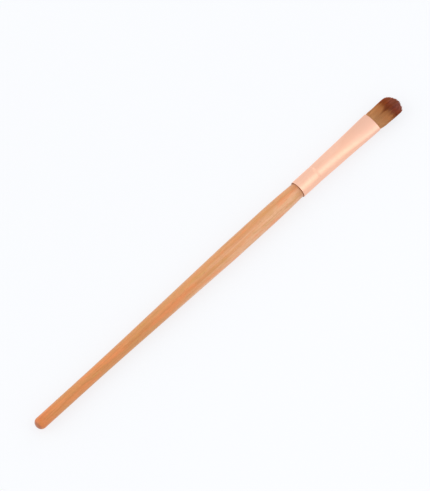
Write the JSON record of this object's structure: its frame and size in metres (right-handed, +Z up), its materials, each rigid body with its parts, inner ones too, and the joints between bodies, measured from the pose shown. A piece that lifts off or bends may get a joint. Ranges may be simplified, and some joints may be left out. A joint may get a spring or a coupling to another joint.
{
  "type": "eyeshadow brush",
  "caption": "Slim makeup brush lying flat: turned wooden handle, crimped metal ferrule pressed to a flat oval mouth, short round-ended tuft that bends and springs back.",
  "frame": {"origin": "middle of the brush's length and width, on the surface that it lies on", "axes": "+X along the handle from the butt to the toe of the tuft, Y across the flat of the head, +Z up out of the flat of the head"},
  "size_m": [0.17, 0.0077, 0.0063],
  "materials": {
    "lacquered_wood": "clear satin lacquer over fine straight grain",
    "rose_metal": "satin anodised, pale rose gold",
    "brown_glue": "cured dark brown adhesive",
    "amber_resin": "cast amber resin",
    "filament": "dyed synthetic filament, tan with dark brown ends"
  },
  "bodies": {
    "brush": {"handle": "lacquered_wood", "ferrule": "rose_metal", "handle_glue": "brown_glue", "root_resin": "amber_resin", "tuft_root": "filament"},
    "tuft_head": {"tuft": "filament"}
  },
  "joints": [
    {"name": "tuft_flex", "type": "hinge", "parent": "brush", "child": "tuft_head", "pos_m": [0.0738, 0, 0.00315], "axis": [0, 1, 0], "range_deg": [-20, 20], "stiffness_Nm_per_rad": 0.004}
  ]
}
